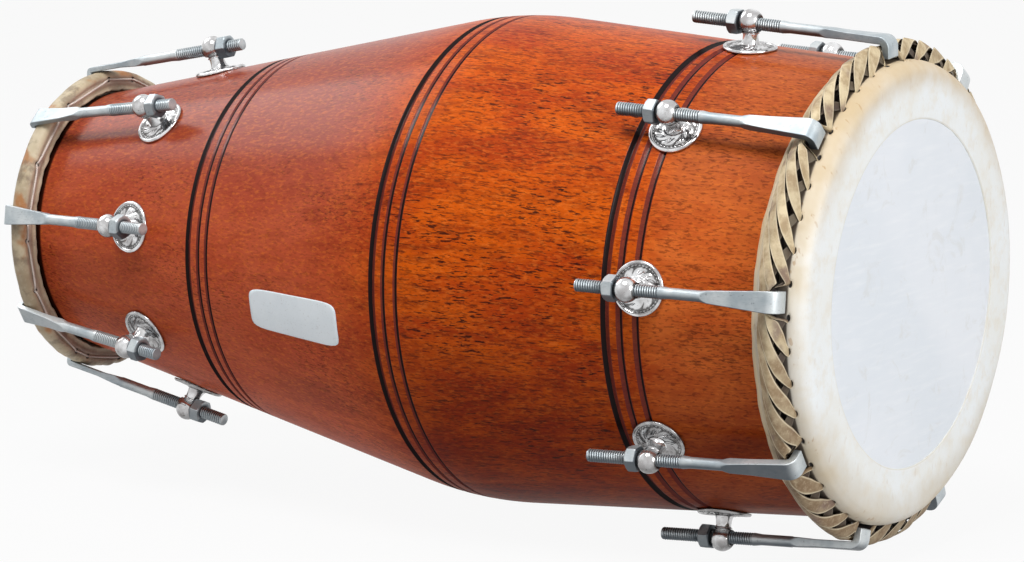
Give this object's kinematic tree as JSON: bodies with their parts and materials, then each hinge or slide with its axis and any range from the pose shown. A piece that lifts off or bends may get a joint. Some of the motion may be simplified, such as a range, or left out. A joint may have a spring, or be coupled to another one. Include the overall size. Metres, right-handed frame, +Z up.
{
  "type": "naal drum",
  "caption": "Barrel-shaped wooden hand drum with a braided rawhide bass head, a small ring-folded treble head, and threaded hook bolts that tighten each head against eye posts.",
  "frame": {"origin": "centre of the bass head, on its playing face", "axes": "+X out of the bass head along the shell, so the shell runs to -X; +Z up with the drum lying as in the picture; +Y away from the viewer"},
  "size_m": [0.4873, 0.2617, 0.2613],
  "materials": {
    "varnished_wood": "glossy varnish",
    "bass_skin": "satin rawhide",
    "rim_skin": "satin rawhide",
    "braid_leather": "matte hide strap",
    "treble_skin": "satin rawhide",
    "iron": "bare rod",
    "nickel_plate": "bright nickel plate",
    "zinc_plate": "zinc plate"
  },
  "bodies": {
    "drum": {"shell": "varnished_wood", "bass_head_skin": "bass_skin", "bass_rim_skin": "rim_skin", "bass_braid": "braid_leather", "treble_head_skin": "treble_skin", "treble_iron_ring": "iron", "bass_lug_1": "nickel_plate", "bass_lug_2": "nickel_plate", "bass_lug_3": "nickel_plate", "bass_lug_4": "nickel_plate", "bass_lug_5": "nickel_plate", "bass_lug_6": "nickel_plate", "bass_lug_7": "nickel_plate", "bass_lug_8": "nickel_plate", "bass_lug_9": "nickel_plate", "treble_lug_1": "nickel_plate", "treble_lug_2": "nickel_plate", "treble_lug_3": "nickel_plate", "treble_lug_4": "nickel_plate", "treble_lug_5": "nickel_plate", "treble_lug_6": "nickel_plate", "treble_lug_7": "nickel_plate", "treble_lug_8": "nickel_plate", "treble_lug_9": "nickel_plate"},
    "bass_hook_1": {"bass_hook_1": "zinc_plate"},
    "bass_nut_1": {"bass_nut_1": "zinc_plate"},
    "bass_hook_2": {"bass_hook_2": "zinc_plate"},
    "bass_nut_2": {"bass_nut_2": "zinc_plate"},
    "bass_hook_3": {"bass_hook_3": "zinc_plate"},
    "bass_nut_3": {"bass_nut_3": "zinc_plate"},
    "bass_hook_4": {"bass_hook_4": "zinc_plate"},
    "bass_nut_4": {"bass_nut_4": "zinc_plate"},
    "bass_hook_5": {"bass_hook_5": "zinc_plate"},
    "bass_nut_5": {"bass_nut_5": "zinc_plate"},
    "bass_hook_6": {"bass_hook_6": "zinc_plate"},
    "bass_nut_6": {"bass_nut_6": "zinc_plate"},
    "bass_hook_7": {"bass_hook_7": "zinc_plate"},
    "bass_nut_7": {"bass_nut_7": "zinc_plate"},
    "bass_hook_8": {"bass_hook_8": "zinc_plate"},
    "bass_nut_8": {"bass_nut_8": "zinc_plate"},
    "bass_hook_9": {"bass_hook_9": "zinc_plate"},
    "bass_nut_9": {"bass_nut_9": "zinc_plate"},
    "treble_hook_1": {"treble_hook_1": "zinc_plate"},
    "treble_nut_1": {"treble_nut_1": "zinc_plate"},
    "treble_hook_2": {"treble_hook_2": "zinc_plate"},
    "treble_nut_2": {"treble_nut_2": "zinc_plate"},
    "treble_hook_3": {"treble_hook_3": "zinc_plate"},
    "treble_nut_3": {"treble_nut_3": "zinc_plate"},
    "treble_hook_4": {"treble_hook_4": "zinc_plate"},
    "treble_nut_4": {"treble_nut_4": "zinc_plate"},
    "treble_hook_5": {"treble_hook_5": "zinc_plate"},
    "treble_nut_5": {"treble_nut_5": "zinc_plate"},
    "treble_hook_6": {"treble_hook_6": "zinc_plate"},
    "treble_nut_6": {"treble_nut_6": "zinc_plate"},
    "treble_hook_7": {"treble_hook_7": "zinc_plate"},
    "treble_nut_7": {"treble_nut_7": "zinc_plate"},
    "treble_hook_8": {"treble_hook_8": "zinc_plate"},
    "treble_nut_8": {"treble_nut_8": "zinc_plate"},
    "treble_hook_9": {"treble_hook_9": "zinc_plate"},
    "treble_nut_9": {"treble_nut_9": "zinc_plate"}
  },
  "joints": [
    {"name": "bass_nut_1_turn", "type": "hinge", "parent": "drum", "child": "bass_nut_1", "pos_m": [-0.08355, -0.0099, 0.12577], "axis": [-0.9985, -0.0043, 0.0549], "range_deg": [0, 3240]},
    {"name": "bass_hook_1_slide", "type": "slide", "parent": "drum", "child": "bass_hook_1", "axis": [0.9985, 0.0043, -0.0549], "range_m": [0, 0.01143]},
    {"name": "bass_nut_2_turn", "type": "hinge", "parent": "drum", "child": "bass_nut_2", "pos_m": [-0.08355, -0.08842, 0.08998], "axis": [-0.9985, -0.0386, 0.0393], "range_deg": [0, 3240]},
    {"name": "bass_hook_2_slide", "type": "slide", "parent": "drum", "child": "bass_hook_2", "axis": [0.9985, 0.0386, -0.0393], "range_m": [0, 0.01143]},
    {"name": "bass_nut_3_turn", "type": "hinge", "parent": "drum", "child": "bass_nut_3", "pos_m": [-0.08355, -0.12558, 0.01209], "axis": [-0.9985, -0.0548, 0.0053], "range_deg": [0, 3240]},
    {"name": "bass_hook_3_slide", "type": "slide", "parent": "drum", "child": "bass_hook_3", "axis": [0.9985, 0.0548, -0.0053], "range_m": [0, 0.01143]},
    {"name": "bass_nut_4_turn", "type": "hinge", "parent": "drum", "child": "bass_nut_4", "pos_m": [-0.08355, -0.10397, -0.07146], "axis": [-0.9985, -0.0454, -0.0312], "range_deg": [0, 3240]},
    {"name": "bass_hook_4_slide", "type": "slide", "parent": "drum", "child": "bass_hook_4", "axis": [0.9985, 0.0454, 0.0312], "range_m": [0, 0.01143]},
    {"name": "bass_nut_5_turn", "type": "hinge", "parent": "drum", "child": "bass_nut_5", "pos_m": [-0.08355, -0.03371, -0.12157], "axis": [-0.9985, -0.0147, -0.0531], "range_deg": [0, 3240]},
    {"name": "bass_hook_5_slide", "type": "slide", "parent": "drum", "child": "bass_hook_5", "axis": [0.9985, 0.0147, 0.0531], "range_m": [0, 0.01143]},
    {"name": "bass_nut_6_turn", "type": "hinge", "parent": "drum", "child": "bass_nut_6", "pos_m": [-0.08355, 0.05232, -0.1148], "axis": [-0.9985, 0.0228, -0.0501], "range_deg": [0, 3240]},
    {"name": "bass_hook_6_slide", "type": "slide", "parent": "drum", "child": "bass_hook_6", "axis": [0.9985, -0.0228, 0.0501], "range_m": [0, 0.01143]},
    {"name": "bass_nut_7_turn", "type": "hinge", "parent": "drum", "child": "bass_nut_7", "pos_m": [-0.08355, 0.11387, -0.05431], "axis": [-0.9985, 0.0497, -0.0237], "range_deg": [0, 3240]},
    {"name": "bass_hook_7_slide", "type": "slide", "parent": "drum", "child": "bass_hook_7", "axis": [0.9985, -0.0497, 0.0237], "range_m": [0, 0.01143]},
    {"name": "bass_nut_8_turn", "type": "hinge", "parent": "drum", "child": "bass_nut_8", "pos_m": [-0.08355, 0.12214, 0.03159], "axis": [-0.9985, 0.0533, 0.0138], "range_deg": [0, 3240]},
    {"name": "bass_hook_8_slide", "type": "slide", "parent": "drum", "child": "bass_hook_8", "axis": [0.9985, -0.0533, -0.0138], "range_m": [0, 0.01143]},
    {"name": "bass_nut_9_turn", "type": "hinge", "parent": "drum", "child": "bass_nut_9", "pos_m": [-0.08355, 0.07326, 0.10271], "axis": [-0.9985, 0.032, 0.0448], "range_deg": [0, 3240]},
    {"name": "bass_hook_9_slide", "type": "slide", "parent": "drum", "child": "bass_hook_9", "axis": [0.9985, -0.032, -0.0448], "range_m": [0, 0.01143]},
    {"name": "treble_nut_1_turn", "type": "hinge", "parent": "drum", "child": "treble_nut_1", "pos_m": [-0.40652, -0.00348, 0.09499], "axis": [0.982, -0.0069, 0.1888], "range_deg": [0, 2160]},
    {"name": "treble_hook_1_slide", "type": "slide", "parent": "drum", "child": "treble_hook_1", "axis": [-0.982, 0.0069, -0.1888], "range_m": [0, 0.00762]},
    {"name": "treble_nut_2_turn", "type": "hinge", "parent": "drum", "child": "treble_nut_2", "pos_m": [-0.40652, -0.06373, 0.07053], "axis": [0.982, -0.1267, 0.1402], "range_deg": [0, 2160]},
    {"name": "treble_hook_2_slide", "type": "slide", "parent": "drum", "child": "treble_hook_2", "axis": [-0.982, 0.1267, -0.1402], "range_m": [0, 0.00762]},
    {"name": "treble_nut_3_turn", "type": "hinge", "parent": "drum", "child": "treble_nut_3", "pos_m": [-0.40652, -0.09415, 0.01306], "axis": [0.982, -0.1871, 0.026], "range_deg": [0, 2160]},
    {"name": "treble_hook_3_slide", "type": "slide", "parent": "drum", "child": "treble_hook_3", "axis": [-0.982, 0.1871, -0.026], "range_m": [0, 0.00762]},
    {"name": "treble_nut_4_turn", "type": "hinge", "parent": "drum", "child": "treble_nut_4", "pos_m": [-0.40652, -0.08052, -0.05051], "axis": [0.982, -0.16, -0.1004], "range_deg": [0, 2160]},
    {"name": "treble_hook_4_slide", "type": "slide", "parent": "drum", "child": "treble_hook_4", "axis": [-0.982, 0.16, 0.1004], "range_m": [0, 0.00762]},
    {"name": "treble_nut_5_turn", "type": "hinge", "parent": "drum", "child": "treble_nut_5", "pos_m": [-0.40652, -0.02922, -0.09045], "axis": [0.982, -0.0581, -0.1798], "range_deg": [0, 2160]},
    {"name": "treble_hook_5_slide", "type": "slide", "parent": "drum", "child": "treble_hook_5", "axis": [-0.982, 0.0581, 0.1798], "range_m": [0, 0.00762]},
    {"name": "treble_nut_6_turn", "type": "hinge", "parent": "drum", "child": "treble_nut_6", "pos_m": [-0.40652, 0.03576, -0.08807], "axis": [0.982, 0.0711, -0.175], "range_deg": [0, 2160]},
    {"name": "treble_hook_6_slide", "type": "slide", "parent": "drum", "child": "treble_hook_6", "axis": [-0.982, -0.0711, 0.175], "range_m": [0, 0.00762]},
    {"name": "treble_nut_7_turn", "type": "hinge", "parent": "drum", "child": "treble_nut_7", "pos_m": [-0.40652, 0.084, -0.04448], "axis": [0.982, 0.167, -0.0884], "range_deg": [0, 2160]},
    {"name": "treble_hook_7_slide", "type": "slide", "parent": "drum", "child": "treble_hook_7", "axis": [-0.982, -0.167, 0.0884], "range_m": [0, 0.00762]},
    {"name": "treble_nut_8_turn", "type": "hinge", "parent": "drum", "child": "treble_nut_8", "pos_m": [-0.40652, 0.09294, 0.01992], "axis": [0.982, 0.1847, 0.0396], "range_deg": [0, 2160]},
    {"name": "treble_hook_8_slide", "type": "slide", "parent": "drum", "child": "treble_hook_8", "axis": [-0.982, -0.1847, -0.0396], "range_m": [0, 0.00762]},
    {"name": "treble_nut_9_turn", "type": "hinge", "parent": "drum", "child": "treble_nut_9", "pos_m": [-0.40652, 0.05839, 0.075], "axis": [0.982, 0.1161, 0.1491], "range_deg": [0, 2160]},
    {"name": "treble_hook_9_slide", "type": "slide", "parent": "drum", "child": "treble_hook_9", "axis": [-0.982, -0.1161, -0.1491], "range_m": [0, 0.00762]}
  ],
  "couplings": [
    {"joint": "bass_nut_1_turn", "follows": "bass_hook_1_slide", "rad_per_m": 4947.4},
    {"joint": "bass_nut_2_turn", "follows": "bass_hook_2_slide", "rad_per_m": 4947.4},
    {"joint": "bass_nut_3_turn", "follows": "bass_hook_3_slide", "rad_per_m": 4947.4},
    {"joint": "bass_nut_4_turn", "follows": "bass_hook_4_slide", "rad_per_m": 4947.4},
    {"joint": "bass_nut_5_turn", "follows": "bass_hook_5_slide", "rad_per_m": 4947.4},
    {"joint": "bass_nut_6_turn", "follows": "bass_hook_6_slide", "rad_per_m": 4947.4},
    {"joint": "bass_nut_7_turn", "follows": "bass_hook_7_slide", "rad_per_m": 4947.4},
    {"joint": "bass_nut_8_turn", "follows": "bass_hook_8_slide", "rad_per_m": 4947.4},
    {"joint": "bass_nut_9_turn", "follows": "bass_hook_9_slide", "rad_per_m": 4947.4},
    {"joint": "treble_nut_1_turn", "follows": "treble_hook_1_slide", "rad_per_m": 4947.4},
    {"joint": "treble_nut_2_turn", "follows": "treble_hook_2_slide", "rad_per_m": 4947.4},
    {"joint": "treble_nut_3_turn", "follows": "treble_hook_3_slide", "rad_per_m": 4947.4},
    {"joint": "treble_nut_4_turn", "follows": "treble_hook_4_slide", "rad_per_m": 4947.4},
    {"joint": "treble_nut_5_turn", "follows": "treble_hook_5_slide", "rad_per_m": 4947.4},
    {"joint": "treble_nut_6_turn", "follows": "treble_hook_6_slide", "rad_per_m": 4947.4},
    {"joint": "treble_nut_7_turn", "follows": "treble_hook_7_slide", "rad_per_m": 4947.4},
    {"joint": "treble_nut_8_turn", "follows": "treble_hook_8_slide", "rad_per_m": 4947.4},
    {"joint": "treble_nut_9_turn", "follows": "treble_hook_9_slide", "rad_per_m": 4947.4}
  ]
}
